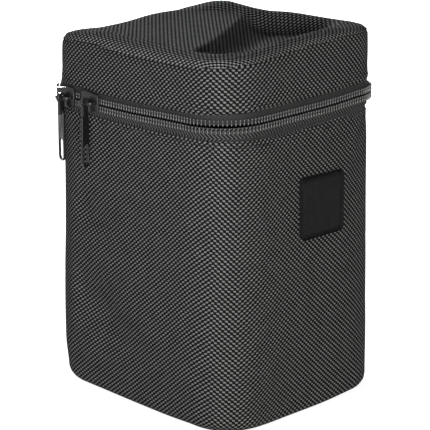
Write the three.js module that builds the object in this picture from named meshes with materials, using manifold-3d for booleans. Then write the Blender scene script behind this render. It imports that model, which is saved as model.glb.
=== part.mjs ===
// Padded lens pouch with a zip-round lid, a dished top and a belt loop.
// Frame: origin under the middle of the base and +Z up. -Y is the front with the patch,
// +Y the back with the lid's fold line and the belt loop, -X the side with both zip sliders.

import * as THREE from 'three';
import { mergeVertices } from 'three/addons/utils/BufferGeometryUtils.js';
import Module from 'manifold-3d';

const wasm = await Module();
wasm.setup();

// Whole pouch, in millimetres
const POUCH_WIDTH = 100;
const POUCH_DEPTH = 112;
const ZIP_HEIGHT = 134; // centre line of the zip chain and the lid's fold line
const LID_HEIGHT = 28; // from there to the crest of the lid's rim
const CORNER_RADIUS = 19;
const BASE_ROUND = 7; // rounding of the bottom edge
const SEAM_ANGLE = 40; // degrees of each back corner that belong to the back panels

// Layers, from the outside in
const FABRIC = 1;
const FOAM = 4.5;
const LINING = 0.8;
const BINDING = 0.6;
const BINDING_LEG = 8;
const BOARD = 1.5;
const BASE_FOAM = 5;
const GAP = 0.3; // clearance between pieces that lie on each other

// Lid
const SHELF_DEPTH = 3.2; // the top's soft shelf at the back left, under the rim's crest
const SHELF_CURVE = 0.0009; // how the shelf climbs from the middle of the top, per square millimetre
const SHELF_TILT = 0.02; // slope of the shelf, up to the right
const SHELF_X = 0; // a point on the edge of that shelf
const SHELF_Y = -7;
const SHELF_TURN = 30; // degrees between +X and that edge
const TROUGH_DEPTH = 5.6; // fall from the shelf to the trough in front of it
const TROUGH_REACH = 16; // distance from the shelf's edge to the bottom of the trough
const TROUGH_RUN = 50; // length along the edge over which the trough gets shallower
const TROUGH_FADE = 0.45; // share of its depth that it loses there
const TROUGH_SLOPE = 0.1; // slope of the top in front of the trough
const RIM_START = 0.66; // share of the way to the crest where the dish turns up into the rim
const RIM_INSET = 3.5; // crest of the rim, from the lid's outline
const RIM_RISE = 3; // crest of the rim above the top seam
const RIM_SAG_SOFT = 3; // sag of the rim between corners, on the left and the back
const RIM_SAG_TAUT = 0.6; // the same on the front and the right
const TOP_FOAM = 4.5;

// Zip
const TAPE = 0.6;
const TAPE_SHOW = 4.2; // tape that shows between the chain and the fabric
const TAPE_SEAM = 8; // tape sewn under the fabric
const COIL_WIDTH = 2.6; // height of one half of the chain
const COIL_THICK = 1.85;
const COIL_NOTCH = 0.55; // depth of the valleys between two turns of the coil
const COIL_PITCH = 1.6;
const CHAIN_SPLIT = 0.9; // slit between the two halves, where the slider's divider runs
const TAPE_RAISED = 0.25; // middle of the tape at the chain, from the fabric's outer face
const TAPE_SLOPE = 2.6; // height over which the tape rises from its seam to the chain
const COIL_SEAT = 0.2; // clearance under the coil

// Sliders and pulls
const SLIDER_SPACING = 15.5;
const SLIDER_LENGTH = 11;
const SLIDER_WIDTH = 9.2;
const PLATE = 1;
const CHANNEL = 0.4; // clearance between the slider and the chain
const CHANNEL_BEHIND = 0.6; // the same behind the tape, where the chain turns a corner
const DIVIDER = 0.4;
const CROWN_BAR = 1.2;
const CROWN_WIDTH = 1.4;
const CROWN_LENGTH = 8.4;
const CROWN_LEG = 1;
const EYE_HOLE = 2.5;
const EYE_WALL = 1;
const PULL_LENGTH = 28;
const PULL_WIDTH = 5.3;
const PULL_THICK = 1.8;
const PULL_SLOT = 8.5;
const SLOT_WALL = 1.2;
const NECK_LENGTH = 2.5;
const NECK_FLARE = 3; // height over which the neck goes into the tab
const SIDE_TAB_TURN = 0; // degrees from edge-on to the wall
const CORNER_TAB_TURN = 90; // flat to the wall

// Patch on the front
const PATCH_WIDTH = 26;
const PATCH_HEIGHT = 27;
const PATCH_THICK = 1.4;
const PATCH_ROUND = 2;
const PATCH_X = 8;
const PATCH_Z = 92;

// Belt loop on the back
const LOOP_WIDTH = 40;
const LOOP_CLEAR = 42; // height of the gap for the belt
const LOOP_GAP = 6.5; // depth of the gap for the belt
const LOOP_RAMP = 8;
const LOOP_SEWN = 12;
const LOOP_Z = 74; // middle of the loop
const WEBBING = 1.6;
const BARTACK = 2.5;
const BARTACK_THICK = 0.7;
const BARTACK_INSET = 3;

// Offsets from the outer face of the body fabric, outward positive
const TAPE_SEWN = -(FABRIC + GAP + TAPE / 2);
const FOAM_OUT = -(FABRIC + GAP + TAPE + GAP);
const FOAM_IN = FOAM_OUT - FOAM;
const LINING_OUT = FOAM_IN - GAP;
const LINING_IN = LINING_OUT - LINING;
const COIL_IN = TAPE_RAISED + TAPE / 2 + COIL_SEAT;
const COIL_OUT = COIL_IN + COIL_THICK;
const PLATE_IN = COIL_OUT + CHANNEL;
const PLATE_OUT = PLATE_IN + PLATE;
const BAR_OUT = PLATE_OUT + GAP + EYE_HOLE / 2 + EYE_WALL;

// Heights
const POUCH_HEIGHT = ZIP_HEIGHT + LID_HEIGHT;
const BOARD_BOTTOM = FABRIC + GAP;
const BASE_FOAM_BOTTOM = BOARD_BOTTOM + BOARD + GAP;
const WALL_BOTTOM = BASE_FOAM_BOTTOM + BASE_FOAM + GAP;
const CHAIN_HALF = CHAIN_SPLIT / 2 + COIL_WIDTH;
const BODY_EDGE = ZIP_HEIGHT - CHAIN_HALF - TAPE_SHOW;
const LID_EDGE = ZIP_HEIGHT + CHAIN_HALF + TAPE_SHOW;
const MOUTH = ZIP_HEIGHT - CHAIN_HALF;
const LID_MOUTH = ZIP_HEIGHT + CHAIN_HALF;

// Footprint of the pouch
const HALF_WIDTH = POUCH_WIDTH / 2;
const HALF_DEPTH = POUCH_DEPTH / 2;
const FLAT_X = HALF_WIDTH - CORNER_RADIUS;
const FLAT_Y = HALF_DEPTH - CORNER_RADIUS;
const CORNER_LENGTH = CORNER_RADIUS * Math.PI / 2;

function straightRun(x, y, stepX, stepY, length) {
  const at = (t) => ({ x: x + stepX * t, y: y + stepY * t, nx: stepY, ny: -stepX });
  return { length, isCorner: false, at };
}

function cornerRun(x, y, startAngle) {
  const at = (t) => {
    const angle = THREE.MathUtils.degToRad(startAngle + 90 * t / CORNER_LENGTH);
    const nx = Math.cos(angle);
    const ny = Math.sin(angle);
    return { x: x + CORNER_RADIUS * nx, y: y + CORNER_RADIUS * ny, nx, ny };
  };
  return { length: CORNER_LENGTH, isCorner: true, at };
}

// From the middle of the back over the left side, the front and the right side
const RUNS = [
  straightRun(0, HALF_DEPTH, -1, 0, FLAT_X),
  cornerRun(-FLAT_X, FLAT_Y, 90),
  straightRun(-HALF_WIDTH, FLAT_Y, 0, -1, 2 * FLAT_Y),
  cornerRun(-FLAT_X, -FLAT_Y, 180),
  straightRun(-FLAT_X, -HALF_DEPTH, 1, 0, 2 * FLAT_X),
  cornerRun(FLAT_X, -FLAT_Y, 270),
  straightRun(HALF_WIDTH, -FLAT_Y, 0, 1, 2 * FLAT_Y),
  cornerRun(FLAT_X, FLAT_Y, 0),
  straightRun(FLAT_X, HALF_DEPTH, -1, 0, FLAT_X),
];
const PERIMETER = RUNS.reduce((sum, run) => sum + run.length, 0);
const LEFT_SEAM = FLAT_X + CORNER_LENGTH * SEAM_ANGLE / 90;
const RIGHT_SEAM = PERIMETER - LEFT_SEAM;
const CORNER_SLIDER_AT = FLAT_X + CORNER_LENGTH;
const SIDE_SLIDER_AT = CORNER_SLIDER_AT + SLIDER_SPACING;

function footprintAt(distance) {
  let rest = distance;
  for (const run of RUNS) {
    if (rest <= run.length) {
      return run.at(rest);
    }
    rest -= run.length;
  }
  return RUNS[0].at(0);
}

// Stations between two distances along the footprint
function stations(from, to, cornerSteps = 5, straightSteps = 1) {
  const marks = [from];
  let start = 0;
  for (const run of RUNS) {
    const steps = run.isCorner ? cornerSteps : straightSteps;
    for (let i = 0; i < steps; i += 1) {
      const mark = start + run.length * i / steps;
      if (mark > from + 0.01 && mark < to - 0.01) {
        marks.push(mark);
      }
    }
    start += run.length;
  }
  marks.push(to);
  return marks.map(footprintAt);
}

function allRound(cornerSteps, straightSteps) {
  return stations(0, PERIMETER, cornerSteps, straightSteps).slice(0, -1);
}

const WRAP = stations(LEFT_SEAM + GAP, RIGHT_SEAM - GAP);
const SOFT_WRAP = stations(LEFT_SEAM + GAP, RIGHT_SEAM - GAP, 5, 4);
const FINE_WRAP = stations(LEFT_SEAM + GAP, RIGHT_SEAM - GAP, 10);
const RING = allRound(5, 1);
const SOFT_RING = allRound(5, 4);

// The back panels lie on both sides of the footprint's starting point
function backStations(straightSteps) {
  const right = stations(RIGHT_SEAM + GAP, PERIMETER, 5, straightSteps);
  const left = stations(0, LEFT_SEAM - GAP, 5, straightSteps);
  return right.concat(left.slice(1));
}

// How far the rim of the lid has sunk at a station, least at the corners
function rimDrop(station) {
  if (Math.abs(station.nx) > 0.999) {
    const sag = station.nx < 0 ? RIM_SAG_SOFT : RIM_SAG_TAUT;
    return sag * Math.cos(Math.PI / 2 * station.y / FLAT_Y);
  }
  if (Math.abs(station.ny) > 0.999) {
    const sag = station.ny > 0 ? RIM_SAG_SOFT : RIM_SAG_TAUT;
    return sag * Math.cos(Math.PI / 2 * station.x / FLAT_X);
  }
  return 0;
}

// Building closed bodies
function capTriangles(ring) {
  const normal = new THREE.Vector3();
  ring.forEach((point, i) => {
    normal.add(new THREE.Vector3().crossVectors(point, ring[(i + 1) % ring.length]));
  });
  normal.normalize();
  const across = ring[1].clone().sub(ring[0]).normalize();
  const along = new THREE.Vector3().crossVectors(normal, across);
  const flat = ring.map((point) => new THREE.Vector2(point.dot(across), point.dot(along)));
  return THREE.ShapeUtils.triangulateShape(flat, []);
}

// Skin over a row of rings. Seen from in front of the first ring, each ring runs counter-clockwise.
// Each four-sided patch is split along its shorter diagonal, so that layers on each other are split alike.
function loft(rings, closed = false) {
  const size = rings[0].length;
  const points = rings.flat();
  const positions = points.flatMap((point) => [point.x, point.y, point.z]);
  const faces = [];
  const spans = closed ? rings.length : rings.length - 1;
  for (let i = 0; i < spans; i += 1) {
    const here = i * size;
    const next = ((i + 1) % rings.length) * size;
    for (let j = 0; j < size; j += 1) {
      const k = (j + 1) % size;
      const rising = points[here + j].distanceTo(points[next + k]);
      const falling = points[here + k].distanceTo(points[next + j]);
      if (rising < falling + 1e-6) {
        faces.push(here + j, next + j, next + k, here + j, next + k, here + k);
      } else {
        faces.push(here + j, next + j, here + k, next + j, next + k, here + k);
      }
    }
  }
  if (!closed) {
    const last = (rings.length - 1) * size;
    capTriangles(rings[0]).forEach(([a, b, c]) => faces.push(a, b, c));
    capTriangles(rings[rings.length - 1]).forEach(([a, b, c]) => faces.push(last + c, last + b, last + a));
  }
  const geometry = new THREE.BufferGeometry();
  geometry.setAttribute('position', new THREE.Float32BufferAttribute(positions, 3));
  geometry.setIndex(faces);
  geometry.computeVertexNormals();
  return geometry;
}

// A section of [outward, height] points, counter-clockwise, carried along the stations
function sweep(path, sectionAt, closed = false) {
  const rings = path.map((station) => sectionAt(station).map(([out, z]) => new THREE.Vector3(
    station.x + station.nx * out,
    station.y + station.ny * out,
    z,
  )));
  return loft(rings, closed);
}

function upright(outerFace, innerFace, bottom, top) {
  return [[innerFace, bottom], [outerFace, bottom], [outerFace, top], [innerFace, top]];
}

function footprintRing(path, out, z) {
  return path.map((p) => new THREE.Vector3(p.x + p.nx * out, p.y + p.ny * out, z));
}

function slab(out, bottom, top) {
  return loft([footprintRing(RING, out, top), footprintRing(RING, out, bottom)]);
}

// A strip of even thickness round a line of [outward, height] points
function band(line, thickness) {
  const sideOf = (sign) => line.map(([x, y], i) => {
    const before = line[Math.max(i - 1, 0)];
    const after = line[Math.min(i + 1, line.length - 1)];
    const first = new THREE.Vector2(x - before[0], y - before[1]).normalize();
    const second = new THREE.Vector2(after[0] - x, after[1] - y).normalize();
    const way = first.clone().add(second).normalize();
    const turn = Math.max(way.dot(i === 0 ? second : first), 0.5);
    const reach = sign * thickness / 2 / turn;
    return [x + way.y * reach, y - way.x * reach];
  });
  return sideOf(1).concat(sideOf(-1).reverse());
}

function toSolid(geometry) {
  const bare = geometry.clone();
  bare.deleteAttribute('normal');
  bare.deleteAttribute('uv');
  const welded = mergeVertices(bare, 1e-4);
  return new wasm.Manifold(new wasm.Mesh({
    numProp: 3,
    vertProperties: new Float32Array(welded.attributes.position.array),
    triVerts: new Uint32Array(welded.index.array),
  }));
}

function join(...geometries) {
  const solid = geometries.map(toSolid).reduce((sum, piece) => sum.add(piece));
  const mesh = solid.getMesh();
  const geometry = new THREE.BufferGeometry();
  geometry.setAttribute('position', new THREE.BufferAttribute(mesh.vertProperties, 3));
  geometry.setIndex(new THREE.BufferAttribute(mesh.triVerts, 1));
  geometry.computeVertexNormals();
  return geometry;
}

function block(fromX, toX, fromY, toY, fromZ, toZ) {
  const geometry = new THREE.BoxGeometry(toX - fromX, toY - fromY, toZ - fromZ);
  geometry.translate((fromX + toX) / 2, (fromY + toY) / 2, (fromZ + toZ) / 2);
  return geometry;
}

function plate(outline, depth, curveSegments = 6) {
  return new THREE.ExtrudeGeometry(outline, { depth, bevelEnabled: false, curveSegments });
}

function polygon(points) {
  return new THREE.Shape(points.map(([x, y]) => new THREE.Vector2(x, y)));
}

// A stadium standing upright round x = 0
function stadium(path, halfWidth, bottom, top) {
  path.moveTo(-halfWidth, bottom + halfWidth);
  path.absarc(0, bottom + halfWidth, halfWidth, Math.PI, 2 * Math.PI, false);
  path.absarc(0, top - halfWidth, halfWidth, 0, Math.PI, false);
  return path;
}

// Materials
function paint(color, roughness, metalness = 0) {
  return new THREE.MeshStandardMaterial({ color, roughness, metalness });
}

const NYLON = paint(0x1d1d20, 0.85);
const PADDING = paint(0x55565a, 0.95);
const LINING_CLOTH = paint(0x74787e, 0.9);
const BOARD_PLASTIC = paint(0x3a3a3d, 0.7);
const TAPE_CLOTH = paint(0x303034, 0.8);
const COIL_PLASTIC = paint(0x18181a, 0.35);
const LEATHER = paint(0x201f22, 0.55);
const DARK_METAL = paint(0x222225, 0.3, 0.8);

const pouch = new THREE.Group();
pouch.name = 'lens_pouch';

function add(name, geometry, material) {
  const mesh = new THREE.Mesh(geometry, material);
  mesh.name = name;
  pouch.add(mesh);
}

// Body: outer fabric, turned under at the bottom edge
function bodyPanelSection(top) {
  const line = [];
  const outer = BASE_ROUND - FABRIC / 2;
  for (let i = 0; i <= 4; i += 1) {
    const angle = Math.PI / 8 * i;
    line.push([outer * Math.sin(angle) - BASE_ROUND, BASE_ROUND - outer * Math.cos(angle)]);
  }
  line.push([-FABRIC / 2, top]);
  return band(line, FABRIC);
}

add('body_wrap', sweep(WRAP, () => bodyPanelSection(BODY_EDGE)), NYLON);
add('body_back_panel', sweep(backStations(1), () => bodyPanelSection(ZIP_HEIGHT - GAP / 2)), NYLON);
add('base_panel', slab(-BASE_ROUND - GAP, 0, FABRIC), NYLON);

// Body: stiffener, padding and lining
const PADDING_TOP = MOUTH - BINDING - GAP;
add('base_board', slab(-BASE_ROUND, BOARD_BOTTOM, BOARD_BOTTOM + BOARD), BOARD_PLASTIC);
add('base_foam', slab(-BASE_ROUND / 2, BASE_FOAM_BOTTOM, BASE_FOAM_BOTTOM + BASE_FOAM), PADDING);
add('wall_foam', sweep(WRAP, () => upright(FOAM_OUT, FOAM_IN, WALL_BOTTOM, PADDING_TOP)), PADDING);
add('back_foam', sweep(backStations(1), () => upright(FOAM_OUT, FOAM_IN, WALL_BOTTOM, PADDING_TOP)), PADDING);
add('wall_lining', sweep(RING, () => upright(LINING_OUT, LINING_IN, WALL_BOTTOM, PADDING_TOP), true), LINING_CLOTH);
add('floor_lining', slab(LINING_IN - GAP, WALL_BOTTOM, WALL_BOTTOM + LINING), LINING_CLOTH);

// Binding over the padded edge of a mouth, with a leg on the lining side
function bindingSection(edge, away) {
  const inside = LINING_IN - GAP;
  const points = [
    [FOAM_OUT, edge],
    [inside - BINDING, edge],
    [inside - BINDING, edge + away * BINDING_LEG],
    [inside, edge + away * BINDING_LEG],
    [inside, edge + away * BINDING],
    [FOAM_OUT, edge + away * BINDING],
  ];
  return away < 0 ? points : points.reverse();
}

add('mouth_binding', sweep(RING, () => bindingSection(MOUTH, -1), true), TAPE_CLOTH);

// Zip tape, from the seam under the fabric out to the chain
function tapeSection(side) {
  const edge = CHAIN_HALF + TAPE_SHOW;
  const line = [
    [TAPE_SEWN, edge + TAPE_SEAM],
    [TAPE_SEWN, edge],
    [TAPE_RAISED, edge - TAPE_SLOPE],
    [TAPE_RAISED, CHAIN_SPLIT / 2 + COIL_SEAT],
  ];
  const section = band(line, TAPE).map(([out, away]) => [out, ZIP_HEIGHT + side * away]);
  return side > 0 ? section : section.reverse();
}

// One half of the coil: full at each turn, narrower in the valley after it
function coil(side) {
  const from = LEFT_SEAM + GAP;
  const turns = Math.round((RIGHT_SEAM - GAP - from) / COIL_PITCH);
  const path = [];
  for (let i = 0; i <= 2 * turns; i += 1) {
    const station = footprintAt(from + (RIGHT_SEAM - GAP - from) * i / (2 * turns));
    station.notch = i % 2 === 0 ? COIL_NOTCH : 0;
    path.push(station);
  }
  return sweep(path, ({ notch }) => {
    const tip = CHAIN_SPLIT / 2 + notch;
    const root = CHAIN_HALF - notch / 2;
    const face = COIL_OUT - notch;
    const section = [[COIL_IN, tip], [face, tip], [face, root], [COIL_IN, root]];
    const placed = section.map(([out, away]) => [out, ZIP_HEIGHT + side * away]);
    return side > 0 ? placed : placed.reverse();
  });
}

add('zip_tape_lower', sweep(FINE_WRAP, () => tapeSection(-1)), TAPE_CLOTH);
add('zip_coil_lower', coil(-1), COIL_PLASTIC);

// Patch on the front
function patch() {
  const halfWidth = PATCH_WIDTH / 2 - PATCH_ROUND;
  const halfHeight = PATCH_HEIGHT / 2 - PATCH_ROUND;
  const outline = new THREE.Shape();
  outline.absarc(-halfWidth, -halfHeight, PATCH_ROUND, Math.PI, 1.5 * Math.PI, false);
  outline.absarc(halfWidth, -halfHeight, PATCH_ROUND, 1.5 * Math.PI, 2 * Math.PI, false);
  outline.absarc(halfWidth, halfHeight, PATCH_ROUND, 0, 0.5 * Math.PI, false);
  outline.absarc(-halfWidth, halfHeight, PATCH_ROUND, 0.5 * Math.PI, Math.PI, false);
  const geometry = plate(outline, PATCH_THICK, 4);
  geometry.rotateX(Math.PI / 2);
  geometry.translate(PATCH_X, -HALF_DEPTH - GAP, PATCH_Z);
  return geometry;
}

add('front_patch', patch(), LEATHER);

// Belt loop: a strap sewn down at both ends, with a bar of stitches on each end
function beltLoop() {
  const half = LOOP_CLEAR / 2;
  const low = GAP + WEBBING / 2;
  const high = GAP + LOOP_GAP + WEBBING / 2;
  const line = [
    [low, -half - LOOP_RAMP - LOOP_SEWN],
    [low, -half - LOOP_RAMP],
    [high, -half],
    [high, half],
    [low, half + LOOP_RAMP],
    [low, half + LOOP_RAMP + LOOP_SEWN],
  ];
  const geometry = plate(polygon(band(line, WEBBING)), LOOP_WIDTH);
  const axes = new THREE.Matrix4().makeBasis(
    new THREE.Vector3(0, 1, 0),
    new THREE.Vector3(0, 0, 1),
    new THREE.Vector3(1, 0, 0),
  );
  axes.setPosition(-LOOP_WIDTH / 2, HALF_DEPTH, LOOP_Z);
  return geometry.applyMatrix4(axes);
}

function bartack(side) {
  const middle = LOOP_Z + side * (LOOP_CLEAR / 2 + LOOP_RAMP + LOOP_SEWN / 2);
  const under = HALF_DEPTH + GAP + WEBBING + GAP;
  const reach = LOOP_WIDTH / 2 - BARTACK_INSET;
  return block(-reach, reach, under, under + BARTACK_THICK, middle - BARTACK / 2, middle + BARTACK / 2);
}

add('belt_loop', beltLoop(), TAPE_CLOTH);
add('bartack_top', bartack(1), TAPE_CLOTH);
add('bartack_bottom', bartack(-1), TAPE_CLOTH);

// Lid: the surface of its top, with a shelf at the back left that drops into a soft trough in front of it
const CREST = 1 - RIM_INSET / HALF_WIDTH;
const PADDING_SHARE = (HALF_WIDTH + LINING_IN - GAP) / HALF_WIDTH;

function dishFloor(x, y) {
  const turn = THREE.MathUtils.degToRad(SHELF_TURN);
  const run = Math.cos(turn) * (x - SHELF_X) + Math.sin(turn) * (y - SHELF_Y);
  const past = Math.max(Math.sin(turn) * (x - SHELF_X) - Math.cos(turn) * (y - SHELF_Y), 0);
  const fade = TROUGH_FADE * THREE.MathUtils.clamp(run / TROUGH_RUN, 0, 1) ** 2;
  const short = Math.max(1 - past / TROUGH_REACH, 0);
  const fall = TROUGH_DEPTH * (1 - fade) * (1 - short ** 2);
  const climb = TROUGH_SLOPE * Math.max(past - TROUGH_REACH, 0);
  const shelf = SHELF_TILT * x + SHELF_CURVE * (x * x + y * y);
  return POUCH_HEIGHT - SHELF_DEPTH + shelf - fall + climb;
}

// Height of the top at a share of the way from the middle to a station
function dishHeight(station, share) {
  const rim = POUCH_HEIGHT - rimDrop(station);
  const floor = Math.min(dishFloor(station.x * share, station.y * share), rim);
  return floor + (rim - floor) * THREE.MathUtils.smoothstep(share / CREST, RIM_START, 1);
}

// Lid: walls
function lidSeam(station) {
  return POUCH_HEIGHT - RIM_RISE - rimDrop(station) - GAP;
}

function lidPaddingTop(station) {
  return dishHeight(station, PADDING_SHARE) - FABRIC - TOP_FOAM - 2 * GAP;
}

const LID_PADDING_BOTTOM = LID_MOUTH + BINDING + GAP;
add('lid_wrap', sweep(SOFT_WRAP, (p) => upright(0, -FABRIC, LID_EDGE, lidSeam(p))), NYLON);
add('lid_back_panel', sweep(
  backStations(4),
  (p) => upright(0, -FABRIC, ZIP_HEIGHT + GAP / 2, lidSeam(p)),
), NYLON);
add('lid_wall_foam', sweep(
  SOFT_WRAP,
  (p) => upright(FOAM_OUT, FOAM_IN, LID_PADDING_BOTTOM, lidPaddingTop(p)),
), PADDING);
add('lid_back_foam', sweep(
  backStations(4),
  (p) => upright(FOAM_OUT, FOAM_IN, LID_PADDING_BOTTOM, lidPaddingTop(p)),
), PADDING);
add('lid_lining', sweep(
  SOFT_RING,
  (p) => upright(LINING_OUT, LINING_IN, LID_PADDING_BOTTOM, lidPaddingTop(p)),
  true,
), LINING_CLOTH);
add('lid_binding', sweep(RING, () => bindingSection(LID_MOUTH, 1), true), TAPE_CLOTH);
add('zip_tape_upper', sweep(FINE_WRAP, () => tapeSection(1)), TAPE_CLOTH);
add('zip_coil_upper', coil(1), COIL_PLASTIC);

// Lid: layers of the top. A level gives the share of the way out and the height at each station.
// The innermost level is a small circle.
const MIDDLE_RING = 1;
const DISH_SHARES = [0, 0.14, 0.3, 0.46, 0.61, 0.73, PADDING_SHARE, (PADDING_SHARE + CREST) / 2, CREST];

function dishLevels(under, edge) {
  const shares = DISH_SHARES.filter((share) => share <= edge);
  return shares.map((share) => (station) => {
    const reach = Math.max(share, MIDDLE_RING / Math.hypot(station.x, station.y));
    return [reach, dishHeight(station, reach) - under];
  });
}

function rimLevel(share, drop) {
  return (station) => [share, POUCH_HEIGHT - rimDrop(station) - drop];
}

function dishedSheet(upper, lower) {
  const levels = upper.concat(lower.reverse());
  return loft(levels.map((level) => SOFT_RING.map((station) => {
    const [share, height] = level(station);
    return new THREE.Vector3(station.x * share, station.y * share, height);
  })));
}

function lidTopPanel() {
  const shoulder = rimLevel((1 + CREST) / 2 + 0.02, 0.3 * RIM_RISE);
  const edge = rimLevel(1, RIM_RISE);
  const foot = rimLevel(1 - FABRIC / HALF_WIDTH, RIM_RISE);
  return dishedSheet(
    dishLevels(0, CREST).concat([shoulder, edge]),
    dishLevels(FABRIC, CREST).concat([foot]),
  );
}

function lidTopLayer(under, thickness, edge) {
  return dishedSheet(dishLevels(under, edge), dishLevels(under + thickness, edge));
}

add('lid_top_panel', lidTopPanel(), NYLON);
add('lid_top_foam', lidTopLayer(FABRIC + GAP, TOP_FOAM, CREST), PADDING);
add('lid_top_lining', lidTopLayer(FABRIC + TOP_FOAM + 2 * GAP, LINING, PADDING_SHARE), LINING_CLOTH);

// Sliders. Own axes: X along the zip, Y up, Z outward. The nose is the end where the chain opens.
function placeOnZip(geometry, distance) {
  const station = footprintAt(distance);
  const outward = new THREE.Vector3(station.nx, station.ny, 0);
  const upward = new THREE.Vector3(0, 0, 1);
  const along = new THREE.Vector3().crossVectors(upward, outward);
  const axes = new THREE.Matrix4().makeBasis(along, upward, outward);
  axes.setPosition(station.x, station.y, ZIP_HEIGHT);
  return geometry.applyMatrix4(axes);
}

function sliderBody(nose) {
  const half = SLIDER_LENGTH / 2;
  const width = SLIDER_WIDTH / 2;
  const shield = [
    [-half, -0.76 * width], [0.45 * half, -width], [0.85 * half, -0.92 * width], [half, -0.45 * width],
    [half, 0.45 * width], [0.85 * half, 0.92 * width], [0.45 * half, width], [-half, 0.76 * width],
  ];
  const back = [
    [-0.72 * half, -0.7 * width], [0.5 * half, -0.86 * width], [0.72 * half, -0.5 * width],
    [0.72 * half, 0.5 * width], [0.5 * half, 0.86 * width], [-0.72 * half, 0.7 * width],
  ];
  const mirrored = (points) => polygon(points.map(([x, y]) => [nose * x, y]));
  const top = plate(mirrored(shield), PLATE);
  top.translate(0, 0, PLATE_IN);
  const bottom = plate(mirrored(back), PLATE);
  const bottomOut = TAPE_RAISED - TAPE / 2 - CHANNEL_BEHIND;
  bottom.translate(0, 0, bottomOut - PLATE);
  const dividerX = [nose * 0.36 * half, nose * 0.68 * half].sort((a, b) => a - b);
  const divider = block(...dividerX, -DIVIDER / 2, DIVIDER / 2, bottomOut - PLATE / 2, PLATE_IN + PLATE / 2);
  const lipX = [nose * -0.7 * half, nose * 0.6 * half].sort((a, b) => a - b);
  const lipOut = TAPE_RAISED + TAPE / 2 + CHANNEL;
  const lip = block(...lipX, -width * 0.9, -CHAIN_HALF - CHANNEL, lipOut, PLATE_IN + PLATE / 2);
  return join(top, bottom, divider, lip);
}

// Bridge over the slider that holds the pull
function sliderCrown() {
  const half = CROWN_LENGTH / 2;
  const seat = PLATE_OUT + GAP;
  const top = BAR_OUT + CROWN_BAR / 2;
  const under = BAR_OUT - CROWN_BAR / 2;
  const arch = polygon([
    [-half, seat], [CROWN_LEG - half, seat], [CROWN_LEG - half, under], [half - CROWN_LEG, under],
    [half - CROWN_LEG, seat], [half, seat], [half, top - CROWN_LEG], [half - CROWN_LEG, top],
    [CROWN_LEG - half, top], [-half, top - CROWN_LEG],
  ]);
  const geometry = plate(arch, CROWN_WIDTH);
  geometry.rotateX(Math.PI / 2);
  geometry.translate(0, CROWN_WIDTH / 2, 0);
  return geometry;
}

// Pull: a round eye on the crown's bar, and a flat tab with a long slot that hangs turned against the eye
function pull(tabTurn) {
  const eye = EYE_HOLE / 2 + EYE_WALL;
  const half = PULL_WIDTH / 2;
  const neck = 0.62 * eye;
  const head = new THREE.Shape();
  head.absarc(0, 0, eye, Math.PI * 1.5 + 0.67, Math.PI * 1.5 - 0.67, false);
  head.lineTo(-neck, -eye - NECK_LENGTH - NECK_FLARE);
  head.lineTo(neck, -eye - NECK_LENGTH - NECK_FLARE);
  head.holes.push(new THREE.Path().absarc(0, 0, EYE_HOLE / 2, 0, 2 * Math.PI, false));
  const slotBottom = SLOT_WALL - PULL_LENGTH;
  const tab = stadium(new THREE.Shape(), half, -PULL_LENGTH, -eye - NECK_LENGTH);
  tab.holes.push(stadium(new THREE.Path(), half - SLOT_WALL, slotBottom, slotBottom + PULL_SLOT));
  const [headPlate, tabPlate] = [head, tab].map((outline) => {
    const geometry = plate(outline, PULL_THICK, 8);
    geometry.translate(0, 0, -PULL_THICK / 2);
    return geometry;
  });
  tabPlate.rotateY(THREE.MathUtils.degToRad(tabTurn));
  const geometry = join(headPlate, tabPlate);
  geometry.rotateY(-Math.PI / 2);
  geometry.translate(0, 0, BAR_OUT);
  return geometry;
}

function addSlider(name, distance, nose, tabTurn) {
  add(`slider_${name}_body`, placeOnZip(sliderBody(nose), distance), DARK_METAL);
  add(`slider_${name}_crown`, placeOnZip(sliderCrown(), distance), DARK_METAL);
  add(`pull_${name}`, placeOnZip(pull(tabTurn), distance), DARK_METAL);
}

addSlider('side', SIDE_SLIDER_AT, -1, SIDE_TAB_TURN);
addSlider('corner', CORNER_SLIDER_AT, 1, CORNER_TAB_TURN);

export default pouch;
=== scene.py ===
import math

import bpy
import numpy as np
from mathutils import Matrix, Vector


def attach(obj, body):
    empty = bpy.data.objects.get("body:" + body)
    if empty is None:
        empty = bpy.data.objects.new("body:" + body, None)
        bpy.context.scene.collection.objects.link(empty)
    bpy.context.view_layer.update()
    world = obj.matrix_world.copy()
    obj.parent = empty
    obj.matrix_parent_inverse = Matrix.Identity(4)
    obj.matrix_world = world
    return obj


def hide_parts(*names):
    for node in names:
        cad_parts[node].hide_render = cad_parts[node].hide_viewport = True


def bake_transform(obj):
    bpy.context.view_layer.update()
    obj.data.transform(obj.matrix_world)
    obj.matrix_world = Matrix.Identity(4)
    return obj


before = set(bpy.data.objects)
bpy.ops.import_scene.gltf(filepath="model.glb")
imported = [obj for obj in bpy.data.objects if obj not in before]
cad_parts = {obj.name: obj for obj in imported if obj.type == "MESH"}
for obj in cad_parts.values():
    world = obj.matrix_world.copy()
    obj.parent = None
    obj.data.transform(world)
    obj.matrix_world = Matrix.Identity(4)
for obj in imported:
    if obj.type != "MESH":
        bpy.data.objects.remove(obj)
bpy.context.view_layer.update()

MM = 0.001

# Sizes of the pouch in millimetres, the same as in the solids
HALF_WIDTH = 50
HALF_DEPTH = 56
CORNER = 19
SEAM_ANGLE = 40
BASE_ROUND = 7
ZIP_HEIGHT = 134
CLOTH = 1.0
FOAM = 4.5
FOAM_OUT = -2.2
FOAM_INSET = 1
LINING = 0.8
LINING_OUT = -7.0
BINDING = 0.6
BINDING_LEG = 8
GAP = 0.3

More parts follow.
